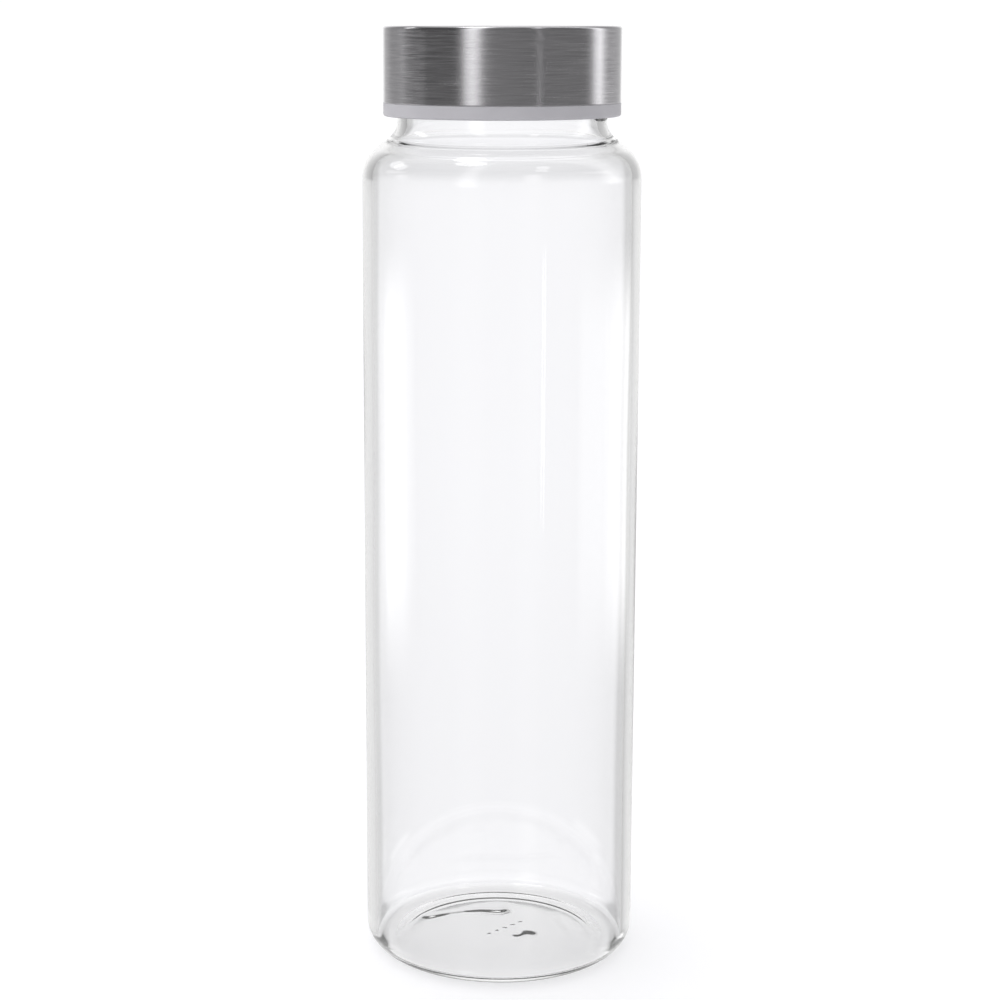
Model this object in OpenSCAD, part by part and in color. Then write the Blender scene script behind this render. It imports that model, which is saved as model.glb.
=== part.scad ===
// Tall glass water bottle with a screw lid.
// A blown bottle with a threaded neck, a moulded core that screws onto it, a soft sealing ring
// held up inside the core, and a drawn steel cap pressed over the core.

/* [Bottle] */
// Outside diameter of the straight wall
body_d = 80; // [78:0.5:84]
// Height of the mouth rim above the base
mouth_h = 269; // [220:0.5:300]
// Thickness of the glass wall
wall = 2.8; // [2.4:0.1:3.2]
// Radius of the rounded heel between the wall and the base
heel_r = 7.4; // [6:0.1:8.5]
// Radius of the rounded shoulder where the wall turns in
shoulder_r = 10.8; // [9:0.1:11.5]
// Lean of the shoulder's slope away from the vertical
shoulder_angle = 52; // [48:1:55]

/* [Neck] */
// Outside diameter of the neck between the thread turns
neck_d = 60; // [59:0.5:60.5]
// Distance from the foot of the shoulder's slope to the mouth rim
neck_h = 24.9; // [24:0.1:30]
// Radius of the hollow curve from the shoulder into the neck
neck_root_r = 5; // [3:0.1:5.2]
// Rounding of both edges of the mouth rim
lip_r = 1.2; // [0.8:0.05:1.3]

/* [Base] */
// Radius at which the hollow underside meets the flat resting ring
foot_r = 31.5; // [27:0.5:31.5]
// Height of the hollow under the middle of the base
push_up = 2.4; // [1:0.1:2.6]
// Height of the inside floor at its edge
floor_h = 2.9; // [2.6:0.1:3.5]
// Radius of the inside corner between the floor and the wall
floor_corner_r = 1.6; // [1.6:0.1:3.5]
// Rise of the inside floor towards its middle
floor_rise = 1.5; // [0.5:0.1:2]

/* [Thread] */
// Climb of the thread in one turn
thread_pitch = 5; // [4.5:0.1:6]
// Height of the ridges on the neck and in the core
ridge_h = 1.2; // [1:0.05:1.4]
// Width of a ridge where it leaves its wall
ridge_base_w = 2.5; // [2:0.1:2.6]
// Width of the flat on top of a ridge
ridge_crest_w = 1; // [0.6:0.1:1.2]
// Turns of the ridge on the glass neck
neck_turns = 2; // [1.5:0.05:2.2]
// Turns of the ridge inside the core
core_turns = 1.25; // [1:0.05:1.5]
// Gap between the core's ridge and the neck
thread_gap = 0.25; // [0.2:0.01:0.3]

/* [Lid] */
// Outside diameter of the steel cap and of the collar below it
lid_d = 67.7; // [67.4:0.1:70]
// Height of the steel cap
cap_h = 21.4; // [20:0.1:24]
// Thickness of the steel sheet
sheet_t = 0.5; // [0.4:0.05:0.6]
// Outside radius of the cap's top edge
cap_edge_r = 0.9; // [0.7:0.05:1.2]
// Height of the collar that shows below the steel
collar_h = 3.8; // [3:0.1:4.5]
// Rounding of the collar's lower edge
collar_edge_r = 0.7; // [0.4:0.05:1]
// Thickness of the core's flat top
core_top_t = 2; // [1.6:0.1:2.4]

/* [Seal] */
// Inside radius of the sealing ring
seal_inner_r = 25.6; // [25.4:0.1:26]
// Outside radius of the sealing ring
seal_outer_r = 31.1; // [30.6:0.05:31.15]
// Gap between the ring and the faces it will be squeezed by
seal_gap = 0.1; // [0.05:0.01:0.2]

/* [Hidden] */

arc_steps = 10;
ridge_steps = 40;
run_out_steps = 5;
dome_steps = 10;
hollow_power = 4;
floor_power = 2;

body_r = body_d / 2;
neck_r = neck_d / 2;
lid_r = lid_d / 2;

// The slope's two corners, and how far they drop on the inside of an even wall
slope_foot_z = mouth_h - neck_h;
slope_start_z = slope_foot_z - (body_r - neck_r) / tan(shoulder_angle);
inside_drop = wall * tan(shoulder_angle / 2);

// The lid is seated with the core's top face above the seal and the rim
seal_t = 1.8;
core_ceiling_z = mouth_h + seal_t + 2 * seal_gap;
lid_top_z = core_ceiling_z + core_top_t + sheet_t;
cap_foot_z = lid_top_z - cap_h;
collar_foot_z = cap_foot_z - collar_h;

core_bore_r = neck_r + ridge_h + thread_gap;
core_outer_r = lid_r - sheet_t - 0.05;
plug_outer_r = seal_inner_r - 0.3;
plug_t = 1.3;
plug_depth = 3.4;
collar_chamfer = 0.5;

// The neck's ridge starts low on the right and climbs to the right;
// the core's ridge runs just under it, so that screwing down pulls the lid onto the rim
neck_ridge_angle = -35;
neck_ridge_z = collar_foot_z + 0.2;
ridge_drop = 2;
core_ridge_angle = 205;
ridge_root_depth = 0.4;

function unit(v) = v / norm(v);
function turned(v, a) = [v.x * cos(a) - v.y * sin(a), v.x * sin(a) + v.y * cos(a)];

// Points of the arc of radius p[2] that touches both edges meeting at the corner p
function corner_arc(before, p, after) =
    let (
        corner = [p.x, p.y],
        back = unit([before.x, before.y] - corner),
        ahead = unit([after.x, after.y] - corner),
        half = acos(back * ahead) / 2,
        centre = corner + unit(back + ahead) * p[2] / sin(half),
        first = corner + back * p[2] / tan(half) - centre,
        sweep = -sign(cross(back, ahead)) * (180 - 2 * half)
    )
    [for (i = [0:arc_steps]) centre + turned(first, sweep * i / arc_steps)];

// Outline through [radius, height, rounding] corners, with an arc at each rounded one
function outline(corners) =
    let (n = len(corners))
    [for (i = [0:n - 1])
        each corners[i][2] > 0
            ? corner_arc(corners[(i + n - 1) % n], corners[i], corners[(i + 1) % n])
            : [[corners[i].x, corners[i].y]]];

// Curve from the axis to the radius edge_r. It stands above edge_z by rise in the middle and
// falls with the given power of the radius.
function dome(edge_r, edge_z, rise, power) =
    [for (i = [0:dome_steps])
        [edge_r * i / dome_steps, edge_z + rise * (1 - pow(i / dome_steps, power)), 0]];

function reversed(list) = [for (i = [len(list) - 1:-1:0]) list[i]];

module turned_solid(corners) {
    rotate_extrude($fn = 128)
        polygon(outline(corners));
}

// Trapezoid ridge that climbs round the axis on a wall of radius wall_r. It stands out by
// height, or inwards when height is negative, and sinks into the wall at both ends.
module ridge(wall_r, height, start_angle, start_z, turns) {
    steps = ceil(turns * ridge_steps);
    points = [for (i = [0:steps])
        let (
            angle = start_angle + 360 * turns * i / steps,
            z = start_z + thread_pitch * turns * i / steps,
            grown = min(1, i / run_out_steps, (steps - i) / run_out_steps),
            crest_r = wall_r + height * (1.15 * grown - 0.15),
            root_r = wall_r - sign(height) * ridge_root_depth
        )
        for (corner = [
            [root_r, -ridge_base_w / 2],
            [crest_r, -ridge_crest_w / 2],
            [crest_r, ridge_crest_w / 2],
            [root_r, ridge_base_w / 2]
        ])
        [corner.x * cos(angle), corner.x * sin(angle), z + corner.y]];
    last = 4 * steps;
    sides = [for (i = [0:steps - 1], k = [0:3])
        let (
            a = 4 * i + k,
            b = 4 * i + (k + 1) % 4
        )
        each [[a, b, b + 4], [a, b + 4, a + 4]]];
    ends = [[0, 3, 2], [0, 2, 1], [last, last + 1, last + 2], [last, last + 2, last + 3]];
    outward = concat(sides, ends);
    faces = height > 0 ? outward : [for (face = outward) reversed(face)];
    polyhedron(points, faces, convexity = 6);
}

module glass_bottle() {
    inside_r = body_r - wall;
    bore_r = neck_r - wall;
    color([0.86, 0.93, 0.94, 0.35])
    union() {
        turned_solid(concat(
            dome(foot_r, 0, push_up, hollow_power),
            [
                [body_r, 0, heel_r],
                [body_r, slope_start_z, shoulder_r],
                [neck_r, slope_foot_z, neck_root_r],
                [neck_r, mouth_h, lip_r],
                [bore_r, mouth_h, lip_r],
                [bore_r, slope_foot_z - inside_drop, neck_root_r + wall],
                [inside_r, slope_start_z - inside_drop, shoulder_r - wall],
                [inside_r, floor_h, floor_corner_r]
            ],
            reversed(dome(inside_r - floor_corner_r - 0.4, floor_h, floor_rise, floor_power))
        ));
        ridge(neck_r, ridge_h, neck_ridge_angle, neck_ridge_z, neck_turns);
    }
}

module seal_ring() {
    seal_foot_z = mouth_h + seal_gap;
    seal_edge_r = 0.3;
    color([0.93, 0.93, 0.92])
        turned_solid([
            [seal_inner_r, seal_foot_z, seal_edge_r],
            [seal_outer_r, seal_foot_z, seal_edge_r],
            [seal_outer_r, seal_foot_z + seal_t, seal_edge_r],
            [seal_inner_r, seal_foot_z + seal_t, seal_edge_r]
        ]);
}

module lid_core() {
    core_ridge_z = neck_ridge_z - ridge_drop
        + thread_pitch * (core_ridge_angle - neck_ridge_angle) / 360;
    core_top_z = core_ceiling_z + core_top_t;
    plug_inner_r = plug_outer_r - plug_t;
    plug_foot_z = core_ceiling_z - plug_depth;
    color([0.78, 0.77, 0.79])
    union() {
        turned_solid([
            [0, core_ceiling_z, 0],
            [plug_inner_r, core_ceiling_z, 0.6],
            [plug_inner_r, plug_foot_z, 0.4],
            [plug_outer_r, plug_foot_z, 0.4],
            [plug_outer_r, core_ceiling_z, 0],
            [core_bore_r, core_ceiling_z, 0],
            [core_bore_r, collar_foot_z + collar_chamfer, 0],
            [core_bore_r + collar_chamfer, collar_foot_z, 0],
            [lid_r, collar_foot_z, collar_edge_r],
            [lid_r, cap_foot_z, 0],
            [core_outer_r, cap_foot_z, 0],
            [core_outer_r, core_top_z, cap_edge_r],
            [0, core_top_z, 0]
        ]);
        ridge(core_bore_r, -ridge_h, core_ridge_angle, core_ridge_z, core_turns);
    }
}

module lid_cap() {
    inner_r = lid_r - sheet_t;
    color([0.62, 0.62, 0.63])
        turned_solid([
            [0, lid_top_z, 0],
            [lid_r, lid_top_z, cap_edge_r],
            [lid_r, cap_foot_z, 0.15],
            [inner_r, cap_foot_z, 0.15],
            [inner_r, lid_top_z - sheet_t, cap_edge_r - sheet_t],
            [0, lid_top_z - sheet_t, 0]
        ]);
}

glass_bottle();
seal_ring();
lid_core();
lid_cap();
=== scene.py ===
"""Clear glass water bottle with a brushed steel screw lid: surfaces, finishes, light and camera.

All lengths are metres. Every piece is turned round the bottle's axis from an outline of
(radius, height) points, with the thread and the small unevenness of real glass worked into it.
"""
import math

import bpy
import numpy as np
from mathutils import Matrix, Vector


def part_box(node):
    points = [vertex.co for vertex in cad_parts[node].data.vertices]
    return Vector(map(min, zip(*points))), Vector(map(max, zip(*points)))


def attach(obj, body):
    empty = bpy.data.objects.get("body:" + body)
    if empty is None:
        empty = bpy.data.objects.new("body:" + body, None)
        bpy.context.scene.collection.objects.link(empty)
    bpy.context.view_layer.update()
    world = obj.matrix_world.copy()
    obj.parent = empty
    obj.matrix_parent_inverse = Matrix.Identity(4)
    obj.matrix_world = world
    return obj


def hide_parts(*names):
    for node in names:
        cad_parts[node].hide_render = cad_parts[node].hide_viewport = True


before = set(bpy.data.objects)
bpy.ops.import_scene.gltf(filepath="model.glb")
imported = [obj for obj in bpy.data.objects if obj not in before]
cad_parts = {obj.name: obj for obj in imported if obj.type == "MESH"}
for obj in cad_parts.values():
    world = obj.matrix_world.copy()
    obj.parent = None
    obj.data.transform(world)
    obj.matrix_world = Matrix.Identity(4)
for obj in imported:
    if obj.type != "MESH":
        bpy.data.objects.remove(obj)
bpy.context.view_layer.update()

MM = 0.001
TURN = 2 * math.pi


# ---------------------------------------------------------------- camera

CAMERA_PLACE = (-14.4 * MM, -658.9 * MM, 275.4 * MM)
CAMERA_DIP = 10.977  # degrees below level


def add_camera():
    """A long lens just above the lid's top, looking down at the bottle."""
    data = bpy.data.cameras.new("camera")
    data.sensor_width = 36
    data.lens = 82.35
    data.shift_x = 0.0485
    data.shift_y = -0.0374
    data.clip_start = 0.02
    data.clip_end = 50
    camera = bpy.data.objects.new("camera", data)
    camera.location = CAMERA_PLACE
    camera.rotation_euler = (math.radians(90 - CAMERA_DIP), 0, 0)
    bpy.context.scene.collection.objects.link(camera)
    bpy.context.scene.camera = camera


add_camera()


# ---------------------------------------------------------------- outlines

def corner_arc(before, corner, after, rounding, steps):
    """Arc of the given radius that touches both edges meeting at a corner: the tangent point
    turned about the arc's centre in equal steps."""
    back = (before - corner) / np.linalg.norm(before - corner)
    ahead = (after - corner) / np.linalg.norm(after - corner)
    half = math.acos(np.clip(back @ ahead, -1, 1)) / 2
    middle = (back + ahead) / np.linalg.norm(back + ahead)
    centre = corner + middle * rounding / math.sin(half)
    arm = corner + back * rounding / math.tan(half) - centre
    sweep = -np.sign(back[0] * ahead[1] - back[1] * ahead[0]) * (math.pi - 2 * half)
    turn = sweep * np.linspace(0, 1, steps + 1)
    x = arm[0] * np.cos(turn) - arm[1] * np.sin(turn)
    z = arm[0] * np.sin(turn) + arm[1] * np.cos(turn)
    return centre + np.stack([x, z], 1)


def graded(start, end, fine, coarse):
    """Points strictly between two ends of a straight stretch: from both ends each step is half
    as long again as the last, from fine up to coarse."""
    length = np.linalg.norm(end - start)
    growth = 1.5
    steps = fine * growth ** np.arange(40)
    reach = np.cumsum(np.minimum(steps, coarse))
    near = reach[reach < length / 2]
    along = np.concatenate([near, length - near[::-1]])
    return start + (end - start) * (along / length)[:, None]


def outline(corners, arc_step=0.5 * MM, fine=0.5 * MM, coarse=8 * MM, ring=False):
    """Points of a path of (radius, height, rounding) corners: an arc at each rounded corner, in
    steps of about arc_step, and graded points on each straight stretch. A ring outline also
    joins its end to its start."""
    places = np.array([c[:2] for c in corners], float)
    count = len(corners)
    pieces = []
    for i, corner in enumerate(corners):
        rounding = corner[2]
        if rounding > 0:
            before, after = places[i - 1], places[(i + 1) % count]
            usual_sweep = 1.2  # radians
            steps = max(6, int(rounding * usual_sweep / arc_step))
            pieces.append(corner_arc(before, places[i], after, rounding, steps))
        else:
            pieces.append(places[i:i + 1])
    points = []
    for i, piece in enumerate(pieces):
        points.append(piece)
        if ring or i + 1 < count:
            points.append(graded(piece[-1], pieces[(i + 1) % count][0], fine, coarse))
    return np.concatenate(points)


# ---------------------------------------------------------------- surfaces turned from them

def turned(name, rings, poles=True):
    """A closed mesh over a grid of rings, rings[i, j] being point j of ring i. With poles the
    first and last ring are each drawn in to one point; without, the last joins the first."""
    count, sides = rings.shape[:2]
    if poles:
        inner = rings[1:-1].reshape(-1, 3)
        points = np.concatenate([inner, rings[:1].mean(1), rings[-1:].mean(1)])
        rows = count - 2
        below, above = np.arange(rows - 1), np.arange(1, rows)
    else:
        points = rings.reshape(-1, 3)
        rows = count
        below, above = np.arange(rows), (np.arange(rows) + 1) % rows
    here = np.arange(sides)
    ahead = (here + 1) % sides
    low = below[:, None] * sides
    high = above[:, None] * sides
    quads = np.stack([low + here, low + ahead, high + ahead, high + here], -1).reshape(-1, 4)
    faces = quads.tolist()
    if poles:
        first, last = rows * sides, rows * sides + 1
        top = (rows - 1) * sides
        faces += np.stack([np.full(sides, first), ahead, here], 1).tolist()
        faces += np.stack([top + here, top + ahead, np.full(sides, last)], 1).tolist()
    mesh = bpy.data.meshes.new(name)
    mesh.from_pydata(points, [], faces)
    mesh.polygons.foreach_set("use_smooth", np.ones(len(mesh.polygons), bool))
    mesh.update()
    made = bpy.data.objects.new(name, mesh)
    bpy.context.scene.collection.objects.link(made)
    return made


def spun(points, sides):
    """Grid of rings: each (radius, height) point carried round the axis.
    Returns the angle, radius and height of every grid point."""
    angle = np.broadcast_to(TURN * np.arange(sides) / sides, (len(points), sides))
    radius = np.repeat(points[:, :1], sides, 1)
    height = np.repeat(points[:, 1:], sides, 1)
    return angle, radius, height


def placed(angle, radius, height):
    """Grid points from cylindrical to straight coordinates."""
    return np.stack([radius * np.cos(angle), radius * np.sin(angle), height], -1)


def smooth_step(x):
    """0 below 0, 1 above 1, and the cubic 3x^2 - 2x^3 between."""
    x = np.clip(x, 0, 1)
    return x * x * (3 - 2 * x)


# ---------------------------------------------------------------- sizes

glass_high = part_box("glass_bottle")[1]
core_low, core_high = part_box("lid_core")
cap_low, cap_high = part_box("lid_cap")
seal_low, seal_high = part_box("seal_ring")

# The bottle
BODY_R = glass_high.x
MOUTH_Z = glass_high.z
WALL = 2.8 * MM
NECK_R = 30 * MM
HEEL_R = 7.4 * MM
SHOULDER_R = 10.8 * MM
SLOPE = math.radians(52)
NECK_ROOT_R = 5 * MM
LIP_R = 1.2 * MM
SLOPE_FOOT_Z = MOUTH_Z - 24.9 * MM
SLOPE_START_Z = SLOPE_FOOT_Z - (BODY_R - NECK_R) / math.tan(SLOPE)
INSIDE_DROP = WALL * math.tan(SLOPE / 2)
FOOT_R = 31.5 * MM
PUSH_UP = 2.4 * MM
HOLLOW_POWER = 4
FLOOR_Z = 2.9 * MM
FLOOR_CORNER_R = 1.6 * MM
FLOOR_RISE = 1.5 * MM
FLOOR_POWER = 2
FLOOR_EDGE = 0.4 * MM

# The fold and the waves of the glass inside
FOLD_Z = SLOPE_FOOT_Z - 4 * MM
FOLD_WIDTH = 0.55 * MM
WAVE_H = 0.09 * MM
WAVE_LENGTH = 90 * MM

# Marks in the base as (x, y, height, spread) in millimetres; the swirl and the rill are bent
# paths through theirs
SWIRL = [(0, 14.5, 1.0, 2.1), (-5, 14.5, 0.6, 1.6), (-10, 13.2, 0.1, 0.9),
         (-15, 12, 0.06, 0.8), (-21, 10, 0.35, 1.1)]
RILL = [(19, 9, 0.1, 1.5), (23, -3, 0.25, 1.6), (21, -14, 0.1, 1.4)]
SCAR = [(8.5, -6.5, 0.5, 1.5), (5.6, -5.8, -0.25, 1.2)]
MOULD_DOTS = [(-3 + 2.4 * i, -6 + 2.3 * i, 0.12, 0.4) for i in range(5)]

# The thread
PITCH = 5 * MM
RIDGE_H = 1.2 * MM
RIDGE_BASE = 2.5 * MM
RIDGE_CREST = 1 * MM
RUN_OUT = math.radians(40)
NECK_TURNS = 2
CORE_TURNS = 1.25
NECK_RIDGE_ANGLE = math.radians(-35)
NECK_RIDGE_Z = core_low.z + 0.2 * MM
CORE_RIDGE_ANGLE = math.radians(205)
RIDGE_DROP = 2 * MM
CORE_RIDGE_Z = NECK_RIDGE_Z - RIDGE_DROP + PITCH * (CORE_RIDGE_ANGLE - NECK_RIDGE_ANGLE) / TURN

# The lid
LID_R = cap_high.x
SHEET = 0.5 * MM
EDGE_R = 0.9 * MM
HEM_R = 0.15 * MM
CORE_TOP = 2 * MM
THREAD_GAP = 0.25 * MM
PLUG_GAP = 0.3 * MM
PLUG_WALL = 1.3 * MM
PLUG_DEPTH = 3.4 * MM

# Rings of the underside and of the floor, and points round each turned piece
UNDER_RINGS = 56
FLOOR_RINGS = 44
GLASS_SIDES = 256
STEEL_SIDES = 320
CORE_SIDES = 288
SEAL_SIDES = 240


def dome(edge_r, edge_z, rise, power, steps):
    """Curve from the axis out to a radius, standing above its edge by rise in the middle and
    falling with the given power of the radius: a high power keeps it flat almost to its edge."""
    share = np.linspace(0, 1, steps + 1)
    return np.stack([edge_r * share, edge_z + rise * (1 - share ** power)], 1)


def ridge(angle, height, start_angle, start_z, turns):
    """Share of full height, 0 to 1, of a ridge that climbs round the axis: flat on its crest,
    eased down both flanks, and run out at both ends."""
    share = np.zeros(angle.shape)
    end = turns * TURN
    for lap in range(math.ceil(turns) + 1):
        along = (angle - start_angle) % TURN + lap * TURN
        off = np.abs(height - start_z - PITCH * along / TURN)
        flank = smooth_step((RIDGE_BASE / 2 - off) / (RIDGE_BASE / 2 - RIDGE_CREST / 2))
        fade = smooth_step(along / RUN_OUT) * smooth_step((end - along) / RUN_OUT)
        share = np.maximum(share, flank * fade)
    return share


def unevenness(angle, height, seed, waves, longest):
    """Sum of cosine waves with whole counts round the axis and random tilts, 1 at most."""
    draw = np.random.default_rng(seed)
    total = np.zeros(angle.shape)
    for _ in range(waves):
        round_axis = draw.integers(1, 6)
        per_metre = draw.uniform(-1, 1) / longest
        phase = draw.uniform(0, TURN)
        total += np.cos(round_axis * angle + TURN * per_metre * height + phase)
    return total / waves


def bumps(x, y, marks):
    """Sum of round Gaussian bumps, each mark being (x, y, height, spread)."""
    total = np.zeros(x.shape)
    for mark_x, mark_y, rise, spread in np.array(marks) * MM:
        total += rise * np.exp(-((x - mark_x) ** 2 + (y - mark_y) ** 2) / (2 * spread ** 2))
    return total


def rope(x, y, path):
    """Rounded crest along a bent path of (x, y, height, spread) points: at each place the
    highest of 40 Gaussian bumps set close together along the path."""
    path = np.array(path) * MM
    stops = np.arange(len(path))
    highest = np.zeros(x.shape)
    for at in np.linspace(0, len(path) - 1, 40):
        mark_x, mark_y, rise, spread = (np.interp(at, stops, column) for column in path.T)
        bump = rise * np.exp(-((x - mark_x) ** 2 + (y - mark_y) ** 2) / (2 * spread ** 2))
        highest = np.maximum(highest, bump)
    return highest


# ---------------------------------------------------------------- the glass

def glass_outline():
    """Underside, outside, rim, inside and floor in one path from the axis round to the axis.
    The straight of the neck has evenly close points, for the ridge that stands out of it."""
    inside_r = BODY_R - WALL
    bore_r = NECK_R - WALL
    under = dome(FOOT_R, 0, PUSH_UP, HOLLOW_POWER, UNDER_RINGS)
    floor_r = inside_r - FLOOR_CORNER_R - FLOOR_EDGE
    floor = dome(floor_r, FLOOR_Z, FLOOR_RISE, FLOOR_POWER, FLOOR_RINGS)[::-1]
    shell = outline([
        (FOOT_R, 0, 0),
        (BODY_R, 0, HEEL_R),
        (BODY_R, SLOPE_START_Z, SHOULDER_R),
        (NECK_R, SLOPE_FOOT_Z, NECK_ROOT_R),
        (NECK_R, MOUTH_Z, LIP_R),
        (bore_r, MOUTH_Z, LIP_R),
        (bore_r, SLOPE_FOOT_Z - INSIDE_DROP, NECK_ROOT_R + WALL),
        (inside_r, SLOPE_START_Z - INSIDE_DROP, SHOULDER_R - WALL),
        (inside_r, FLOOR_Z, FLOOR_CORNER_R),
        (floor[0, 0], FLOOR_Z, 0),
    ])
    points = np.concatenate([under[:-1], shell[:-1], floor])
    height = points[:, 1]
    neck_foot_z = SLOPE_FOOT_Z + NECK_ROOT_R * math.tan(SLOPE / 2)
    on_neck = np.arange(len(points)) < int(np.argmax(height))
    on_neck &= (height > neck_foot_z) & (height < MOUTH_Z - LIP_R)
    first, last = np.flatnonzero(on_neck)[[0, -1]]
    ring_gap = 0.35 * MM
    neck_z = np.arange(height[first], height[last], ring_gap)
    neck = np.stack([np.full(len(neck_z), NECK_R), neck_z], 1)
    return np.concatenate([points[:first], neck, points[last:]])


def glass_bottle():
    """The outline carried round the axis, then moved a little. The thread's ridge is added to
    the neck's radius. Inside, the radius has a Gaussian fold below the neck, deepest at the
    viewer's side, and a sum of long waves. The heights of the floor and of the underside have
    a rill, a swirl, a small scar and a row of dots."""
    points = glass_outline()
    angle, radius, height = spun(points, GLASS_SIDES)
    outside = np.arange(len(points)) < int(np.argmax(points[:, 1]))
    outside = np.broadcast_to(outside[:, None], radius.shape)

    threaded = ridge(angle, height, NECK_RIDGE_ANGLE, NECK_RIDGE_Z, NECK_TURNS)
    near_neck = outside & (radius < NECK_R + 0.5 * MM) & (height > SLOPE_FOOT_Z)
    radius = radius + np.where(near_neck, RIDGE_H * threaded, 0)

    in_wall = ~outside & (radius > 5 * MM) & (height > FLOOR_Z + FLOOR_CORNER_R)
    in_wall &= height < MOUTH_Z - 2 * LIP_R
    depth = (0.28 - 0.2 * np.sin(angle) + 0.05 * np.cos(angle)) * MM
    fold = -depth * np.exp(-((height - FOLD_Z) / FOLD_WIDTH) ** 2)
    waves = unevenness(angle, height, seed=5, waves=9, longest=WAVE_LENGTH) * WAVE_H
    radius = radius + np.where(in_wall, fold + waves, 0)

    x, y = radius * np.cos(angle), radius * np.sin(angle)
    on_floor = ~outside & (height < FLOOR_Z + FLOOR_RISE + 0.5 * MM)
    beneath = outside & (radius < FOOT_R - 2 * MM) & (height < PUSH_UP + 0.5 * MM)
    marks = bumps(x, y, MOULD_DOTS) + bumps(x, y, SCAR) - rope(x, y, SWIRL)
    height = height + np.where(on_floor, rope(x, y, RILL), 0)
    height = height + np.where(beneath, marks, 0)
    return turned("bottle_glass", placed(angle, radius, height))


# ---------------------------------------------------------------- the lid

def steel_cap():
    """Drawn cup: a flat top, a tight rounded edge, a straight side and a plain hem."""
    inner_r = LID_R - SHEET
    top_z = cap_high.z
    foot_z = cap_low.z
    points = outline([
        (0, top_z - SHEET, 0),
        (inner_r, top_z - SHEET, EDGE_R - SHEET),
        (inner_r, foot_z, HEM_R),
        (LID_R, foot_z, HEM_R),
        (LID_R, top_z, EDGE_R),
        (0, top_z, 0),
    ], arc_step=0.15 * MM, fine=0.3 * MM, coarse=4 * MM)
    return turned("steel_cap", placed(*spun(points, STEEL_SIDES)))


def thread_core():
    """Moulded core: a threaded skirt with a collar below the steel, a flat top and a short plug
    that centres it in the mouth."""
    ceiling_z = core_high.z - CORE_TOP
    bore_r = NECK_R + RIDGE_H + THREAD_GAP
    plug_r = seal_low_r() - PLUG_GAP
    plug_inner_r = plug_r - PLUG_WALL
    plug_foot_z = ceiling_z - PLUG_DEPTH
    skirt_r = LID_R - SHEET - 0.05 * MM
    points = outline([
        (0, ceiling_z, 0),
        (plug_inner_r, ceiling_z, 0.6 * MM),
        (plug_inner_r, plug_foot_z, 0.4 * MM),
        (plug_r, plug_foot_z, 0.4 * MM),
        (plug_r, ceiling_z, 0.15 * MM),
        (bore_r, ceiling_z, 0.15 * MM),
        (bore_r, core_low.z, 0.5 * MM),
        (LID_R, core_low.z, 0.7 * MM),
        (LID_R, cap_low.z, 0.1 * MM),
        (skirt_r, cap_low.z, 0.1 * MM),
        (skirt_r, core_high.z, EDGE_R),
        (0, core_high.z, 0),
    ], arc_step=0.15 * MM, fine=0.3 * MM, coarse=0.6 * MM)
    angle, radius, height = spun(points, CORE_SIDES)
    in_bore = (np.abs(radius - bore_r) < 0.05 * MM) & (height < ceiling_z - 1 * MM)
    threaded = ridge(angle, height, CORE_RIDGE_ANGLE, CORE_RIDGE_Z, CORE_TURNS)
    radius = radius - np.where(in_bore, RIDGE_H * threaded, 0)
    return turned("thread_core", placed(angle, radius, height))


def seal_low_r():
    """Inside radius of the sealing ring, read from its node's points."""
    points = np.array([v.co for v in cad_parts["seal_ring"].data.vertices])
    return float(np.hypot(points[:, 0], points[:, 1]).min())


def seal_ring():
    """Flat soft ring with rounded edges and a shallow groove in each face."""
    inner_r = seal_low_r()
    outer_r = seal_high.x
    groove = 0.25 * MM
    bend = 0.2 * MM
    edge = 0.3 * MM
    middle = (inner_r + outer_r) / 2

    def across(face_z, inward):
        """One face from the inner radius to the outer, its groove sunk inward by groove."""
        return [
            (inner_r, face_z, edge),
            (middle - 1.2 * MM, face_z, bend),
            (middle - 0.8 * MM, face_z + inward * groove, bend),
            (middle + 0.8 * MM, face_z + inward * groove, bend),
            (middle + 1.2 * MM, face_z, bend),
            (outer_r, face_z, edge),
        ]

    points = outline(across(seal_low.z, 1) + across(seal_high.z, -1)[::-1],
                     arc_step=0.1 * MM, fine=0.2 * MM, coarse=0.5 * MM, ring=True)
    return turned("silicone_seal", placed(*spun(points, SEAL_SIDES)), poles=False)


# ---------------------------------------------------------------- node building

class Value:
    """A socket that joins in sums: each operator adds one Math node."""

    def __init__(self, graph, socket):
        self.graph = graph
        self.socket = socket

    def math(self, operation, *others):
        """One Math node with this socket first."""
        return self.graph.number(operation, self, *others)

    def __add__(self, other):
        return self.math("ADD", other)

    def __sub__(self, other):
        return self.math("SUBTRACT", other)

    def __mul__(self, other):
        return self.math("MULTIPLY", other)

    def __truediv__(self, other):
        return self.math("DIVIDE", other)

    def __rsub__(self, other):
        return self.graph.number("SUBTRACT", other, self)

    __radd__ = __add__
    __rmul__ = __mul__

    def __abs__(self):
        return self.math("ABSOLUTE")


class Node:
    """A shader node whose outputs come out as Values."""

    def __init__(self, graph, node):
        self.graph = graph
        self.node = node

    def out(self, key):
        return Value(self.graph, self.node.outputs[key])


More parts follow.
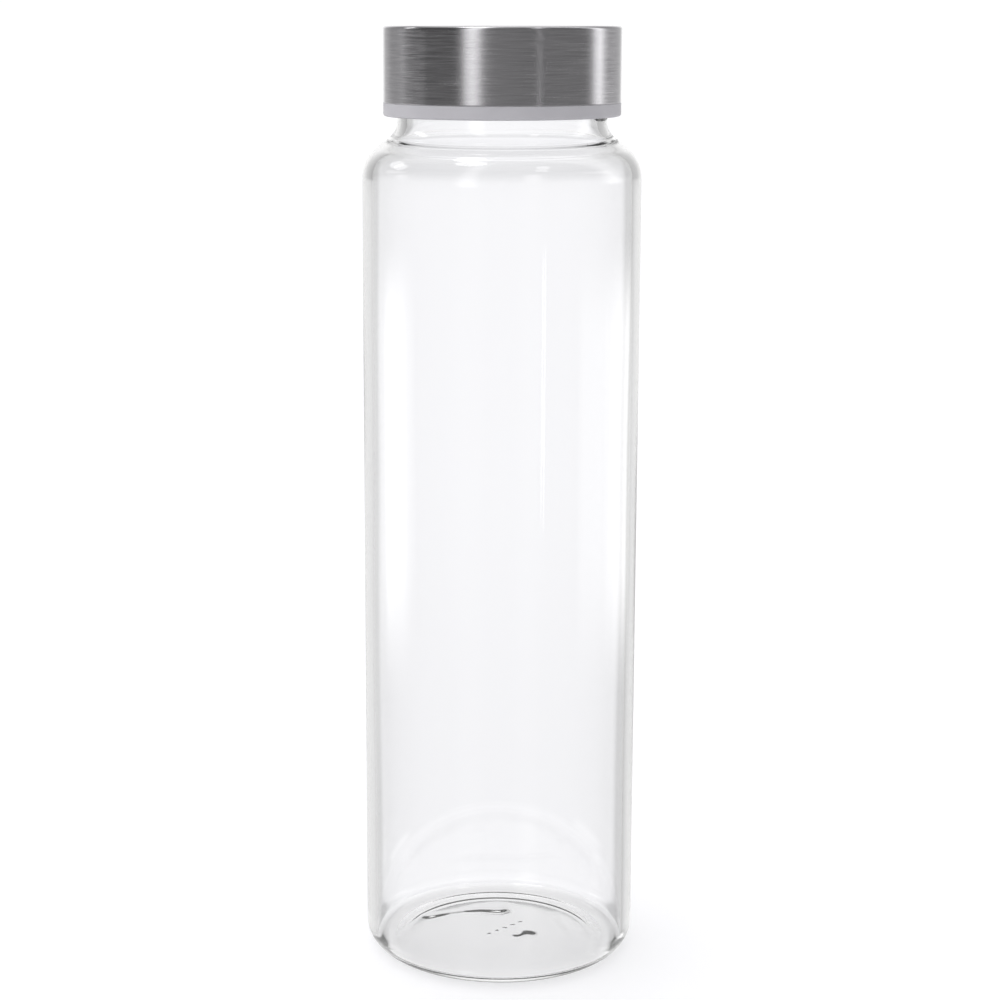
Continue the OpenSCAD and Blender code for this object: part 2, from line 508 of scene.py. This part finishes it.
class Graph:
    """A node tree being built."""

    def __init__(self, tree):
        self.tree = tree
        tree.nodes.clear()

    def add(self, kind, settings=None, sockets=None):
        """Makes a node, sets its settings, then fills its sockets with values or links."""
        node = self.tree.nodes.new(kind)
        for key, setting in (settings or {}).items():
            if key == "stops":
                self.set_stops(node.color_ramp, setting)
            else:
                setattr(node, key, setting)
        for key, given in (sockets or {}).items():
            if isinstance(given, Value):
                self.tree.links.new(given.socket, node.inputs[key])
            else:
                node.inputs[key].default_value = given
        return Node(self, node)

    def set_stops(self, ramp, stops):
        """Gives a colour ramp its (place, grey) stops."""
        while len(ramp.elements) < len(stops):
            ramp.elements.new(0.5)
        for element, (place, grey) in zip(ramp.elements, stops):
            element.position = place
            element.color = (grey, grey, grey, 1)

    def number(self, operation, *given):
        """One Math node over values or links."""
        settings = {"operation": operation}
        return self.add("ShaderNodeMath", settings, dict(enumerate(given))).out(0)

    def ease(self, value, low, high):
        """Smooth step of value, from 0 at low to 1 at high; low may be the greater."""
        settings = {"interpolation_type": "SMOOTHSTEP"}
        sockets = {"Value": value, "From Min": low, "From Max": high}
        return self.add("ShaderNodeMapRange", settings, sockets).out(0)

    def noise(self, vector, scale, detail, roughness=0.5):
        """Cloudy noise, about 0.5 on average."""
        return self.add("ShaderNodeTexNoise", None, {
            "Vector": vector, "Scale": scale, "Detail": detail, "Roughness": roughness}).out("Fac")

    def bump(self, height, distance, strength=1.0):
        """Normal bent by a height that varies over the surface."""
        return self.add("ShaderNodeBump", None, {
            "Height": height, "Distance": distance, "Strength": strength}).out(0)

    def blend(self, factor, first, second):
        """Colour from first to second as the factor goes from 0 to 1: sockets 6 and 7 of a Mix
        node take its two colours, and output 2 gives the result."""
        return self.add("ShaderNodeMix", {"data_type": "RGBA"}, {
            0: factor, 6: (*first, 1), 7: (*second, 1)}).out(2)

    def bell(self, value, centre, half, soft):
        """1 within half of the centre, eased to 0 over soft beyond it."""
        return self.ease(abs(value - centre), half + soft, half)


def new_material(name):
    """An empty node material and its graph."""
    material = bpy.data.materials.new(name)
    material.use_nodes = True
    return material, Graph(material.node_tree)


def finish_with(graph, shader, output="ShaderNodeOutputMaterial"):
    """Joins the finished shader to the tree's output."""
    graph.add(output, None, {"Surface": shader})


# ---------------------------------------------------------------- finishes

def clear_glass():
    """Polished borosilicate: clear, with faint striae that bend what is seen through it."""
    material, graph = new_material("clear borosilicate glass")
    place = graph.add("ShaderNodeTexCoord").out("Object")
    drawn = graph.add("ShaderNodeMapping", None, {"Vector": place, "Scale": (18, 18, 5)}).out(0)
    striae = graph.noise(drawn, 1.0, 2.0)
    shader = graph.add("ShaderNodeBsdfPrincipled", None, {
        "Base Color": (1, 1, 1, 1), "Roughness": 0.0, "IOR": 1.47,
        "Transmission Weight": 1.0, "Normal": graph.bump(striae, 0.06 * MM)})
    finish_with(graph, shader.out(0))
    return material


def brushed_steel():
    """Stainless steel brushed round its side and turned on its top: long fine scratches that
    follow the circle, read along the outline so that they carry over the edge. Short ones cut
    across them, and broad rows are a little lighter and rougher than their neighbours."""
    material, graph = new_material("brushed stainless steel")
    place = graph.add("ShaderNodeTexCoord").out("Object")
    split = graph.add("ShaderNodeSeparateXYZ", None, {0: place})
    x, y, z = split.out(0), split.out(1), split.out(2)
    radius = (x * x + y * y).math("SQRT")
    along = z - radius

    def scratches(round_axis, across, detail):
        """Noise drawn out round the axis: round_axis sets how short its streaks are, and
        across how many lie in each metre of the outline."""
        spread = graph.add("ShaderNodeCombineXYZ", None, {
            0: x / radius * round_axis, 1: y / radius * round_axis, 2: along * across})
        return graph.noise(spread.out(0), 1.0, detail, 0.65)

    fine = scratches(5, 9000, 3.0)
    coarse = scratches(2.5, 1500, 2.0)
    short = scratches(34, 8000, 2.0)
    rows = scratches(3, 4200, 1.0)
    depth = fine * 0.5 + coarse * 0.3 + short * 0.6
    rough = 0.19 + (fine - 0.5) * 0.1 + (short - 0.5) * 0.1 + (rows - 0.5) * 0.3
    tint = graph.blend(rows * 0.6 + coarse * 0.4, (0.45, 0.44, 0.46), (0.72, 0.71, 0.73))
    shader = graph.add("ShaderNodeBsdfPrincipled", None, {
        "Base Color": tint, "Metallic": 1.0, "Roughness": rough,
        "Anisotropic": 0.75, "Anisotropic Rotation": 0.25,
        "Normal": graph.bump(depth, 0.01 * MM)})
    finish_with(graph, shader.out(0))
    return material


def core_plastic():
    """Moulded polypropylene: pale cool grey, satin, a little light passing through it."""
    material, graph = new_material("pale satin polypropylene")
    place = graph.add("ShaderNodeTexCoord").out("Object")
    cloud = graph.noise(place, 90.0, 3.0)
    grain = graph.noise(place, 2600.0, 2.0)
    shader = graph.add("ShaderNodeBsdfPrincipled", None, {
        "Base Color": graph.blend(cloud, (0.50, 0.49, 0.52), (0.60, 0.59, 0.62)),
        "Roughness": 0.35 + cloud * 0.1,
        "Subsurface Weight": 0.3, "Subsurface Radius": (1.0, 1.0, 1.0),
        "Subsurface Scale": 1.5 * MM, "Normal": graph.bump(grain, 0.01 * MM, 0.6)})
    finish_with(graph, shader.out(0))
    return material


def silicone():
    """Milky soft silicone with a dry, faintly cloudy surface."""
    material, graph = new_material("milky silicone")
    place = graph.add("ShaderNodeTexCoord").out("Object")
    cloud = graph.noise(place, 160.0, 3.0)
    shader = graph.add("ShaderNodeBsdfPrincipled", None, {
        "Base Color": graph.blend(cloud, (0.74, 0.74, 0.72), (0.86, 0.86, 0.84)),
        "Roughness": 0.45 + cloud * 0.15,
        "Subsurface Weight": 0.4, "Subsurface Radius": (1.0, 1.0, 1.0),
        "Subsurface Scale": 1.0 * MM})
    finish_with(graph, shader.out(0))
    return material


# ---------------------------------------------------------------- floor

def add_floor():
    """A wide pale matt floor just under the bottle's foot, and the patch of it that shows
    through the base. The rest of it isn't seen in the steel or through the glass, where the
    studio gives the tone."""
    material, graph = new_material("pale matt floor")
    shader = graph.add("ShaderNodeBsdfPrincipled", None, {
        "Base Color": (0.45, 0.45, 0.46, 1), "Roughness": 1.0, "Specular IOR Level": 0.0,
        "Emission Color": (0.985, 0.985, 1, 1), "Emission Strength": 0.72})
    finish_with(graph, shader.out(0))
    sides = 96
    turn = TURN * np.arange(sides) / sides
    wide, patch = ("floor", 6.0, 0.04 * MM), ("floor_under_base", 0.044, 0.02 * MM)
    for name, radius, depth in (wide, patch):
        mesh = bpy.data.meshes.new(name)
        mesh.from_pydata(placed(turn, radius, np.full(sides, -depth)), [], [list(range(sides))])
        mesh.materials.append(material)
        floor = bpy.data.objects.new(name, mesh)
        bpy.context.scene.collection.objects.link(floor)
        floor.visible_glossy = False
        floor.visible_transmission = name == "floor_under_base"


# ---------------------------------------------------------------- studio light

# Brightness round the studio: (degrees to the right of the direction to the viewer, level).
# The soft boxes that the steel mirrors, at the height of the eye
SOFT_BOXES = [
    (-180, 1.1), (-165, 1.05), (-155, 0.6), (-135, 0.36), (-112, 0.40), (-104, 0.20),
    (-96, 0.11), (-48, 0.09), (-41, 0.28), (-36, 1.25), (-30, 1.85), (-25, 1.45), (-19, 0.38),
    (-10, 0.23), (20, 0.19), (86, 0.20), (93, 0.45), (99, 1.3), (107, 1.75), (114, 0.8),
    (122, 0.45), (140, 0.5), (155, 0.6), (165, 1.05), (180, 1.1)]
# The dimmer room below them, which the glass mirrors
LOW_ROOM = [
    (-180, 1.0), (-142, 0.75), (-126, 0.45), (-90, 0.30), (-40, 0.30), (-34, 0.42),
    (-20, 0.42), (-14, 0.30), (95, 0.32), (112, 0.4), (136, 0.5), (148, 0.8), (180, 1.0)]
# Two upright banks in that room, which make the long pale strips down both sides of the glass
BANKS = [
    (-180, 0), (-126, 0), (-119, 0.6), (-113, 0.9), (-82, 0.65), (-80, 0),
    (98, 0), (103, 1.0), (134, 1.0), (139, 0), (180, 0)]
SLIT_COMPASS = 34.7
# Round lamps, which make the small glints on the shoulder: compass, lift, half width, strength
LAMPS = [(-64, 71, 8, 4.5), (-112, 29, 6, 2.5), (42, 47, 4, 3)]
SLAT_SPACING = 45


def mirrored_room(graph, x, y, z, around, lift):
    """What steel and glass mirror, by compass and lift in degrees: soft boxes that fade
    downwards into the low room and upwards, the banks, a pale ceiling and ground, and lamps."""
    def by_compass(levels):
        """Brightness read from stops round the horizon, kept at half in the ramp."""
        stops = [(0.5 + degrees / 360, level / 2) for degrees, level in levels]
        ramp = graph.add("ShaderNodeValToRGB", {"stops": stops}, {0: around / 360 + 0.5})
        return ramp.out(0) * 2

    def lamp(compass, height, half, strength):
        """Round lamp: the smooth step of the cosine between a ray and the lamp's direction."""
        turn, climb = math.radians(compass), math.radians(height)
        facing = (x * (math.sin(turn) * math.cos(climb)) - y * (math.cos(turn) * math.cos(climb))
                  + z * math.sin(climb))
        edge = math.cos(math.radians(half))
        return graph.ease(facing, math.cos(math.radians(half + 2)), edge) * strength

    lowered = graph.ease(lift, -2.8, -4.4)
    raised = graph.ease(lift, 12, 40) * 0.2
    banked = graph.ease(lift, -5.2, -8) * graph.ease(lift, -17, -13)
    ceiling = graph.ease(lift, 35, 60) * 0.35
    ground = graph.ease(lift, -24, -34) * 0.25
    room = by_compass(SOFT_BOXES) * (1 - lowered) * (1 - raised)
    room = room + by_compass(LOW_ROOM) * lowered + by_compass(BANKS) * banked
    return room + ceiling + ground + sum(lamp(*each) for each in LAMPS)


def slit_light(graph, around, lift):
    """The thin upright light that draws one bright line down the front of the glass."""
    slit = graph.bell(around, SLIT_COMPASS, 0.3, 0.4)
    return slit * graph.ease(lift, -5.2, -6.4) * graph.ease(lift, -13.5, -11) * 4.2


def seen_through_glass(graph, around, lift):
    """What rays that only pass through glass see: white, less the softly darker upright slats,
    the dim ceiling, and the dim ground far below."""
    slat = abs((around + 360).math("FLOORED_MODULO", SLAT_SPACING) - SLAT_SPACING / 2)
    slats = graph.ease(slat, 9, 4) * 0.32
    ceiling = graph.ease(lift, -4.6, -2) * 0.13 + graph.ease(lift, -4, 1) * 0.06
    ceiling = ceiling + graph.ease(lift, 4, 40) * 0.6
    below = graph.ease(lift, -10, -20) * 0.04 + graph.ease(lift, -40, -58) * 0.36
    return 1.05 - slats - ceiling - below


def soft_light(graph, x, around, lift):
    """The light that falls on matt surfaces: most of it from the left, behind and above."""
    from_left = graph.ease(x, 0.9, -0.9) * 0.7
    from_behind = graph.ease(abs(around), 60, 120) * 0.25
    return 0.14 + from_left + from_behind + graph.ease(lift, 10, 70) * 0.4


def add_studio():
    """World light by direction, a different room for each kind of ray. The viewer sees plain
    white. A mirrored ray sees the dim room with its soft boxes, banks and lamps, one that only
    went through glass sees white with darker slats, and matt surfaces get the soft light."""
    scene = bpy.context.scene
    scene.world = bpy.data.worlds.new("studio")
    scene.world.use_nodes = True
    graph = Graph(scene.world.node_tree)
    ray = graph.add("ShaderNodeTexCoord").out("Generated")
    split = graph.add("ShaderNodeSeparateXYZ", None, {0: ray})
    x, y, z = split.out(0), split.out(1), split.out(2)
    around = x.math("ARCTAN2", 0 - y) * math.degrees(1)
    lift = z.math("ARCSINE") * math.degrees(1)

    path = graph.add("ShaderNodeLightPath")
    seen = path.out("Is Camera Ray")
    diffuse = path.out("Is Diffuse Ray")
    bounced = path.out("Glossy Depth").math("MINIMUM", 1)
    glossy = bounced * (1 - diffuse)
    passing = path.out("Is Transmission Ray") * (1 - bounced)
    # A ray that the far wall mirrors passes more than two faces of glass before it leaves
    near_wall = path.out("Transmission Depth").math("LESS_THAN", 3)

    mirrored = mirrored_room(graph, x, y, z, around, lift)
    mirrored = mirrored + slit_light(graph, around, lift) * near_wall
    through = seen_through_glass(graph, around, lift)
    falling = soft_light(graph, x, around, lift)
    total = seen * 1.03 + glossy * mirrored + passing * through + diffuse * falling
    tint = graph.blend(passing, (1, 1, 1), (0.99, 0.99, 1.012))
    shader = graph.add("ShaderNodeBackground", None, {"Color": tint, "Strength": total})
    finish_with(graph, shader.out(0), "ShaderNodeOutputWorld")
    scene.view_settings.view_transform = "Standard"


# ---------------------------------------------------------------- assembly

def put(piece, body, node, material):
    """Gives a finished piece its material and body, and hides the node that it stands for."""
    piece.data.materials.append(material)
    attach(piece, body)
    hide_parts(node)


put(glass_bottle(), "bottle", "glass_bottle", clear_glass())
put(seal_ring(), "seal", "seal_ring", silicone())
put(thread_core(), "lid", "lid_core", core_plastic())
put(steel_cap(), "lid", "lid_cap", brushed_steel())
add_floor()
add_studio()
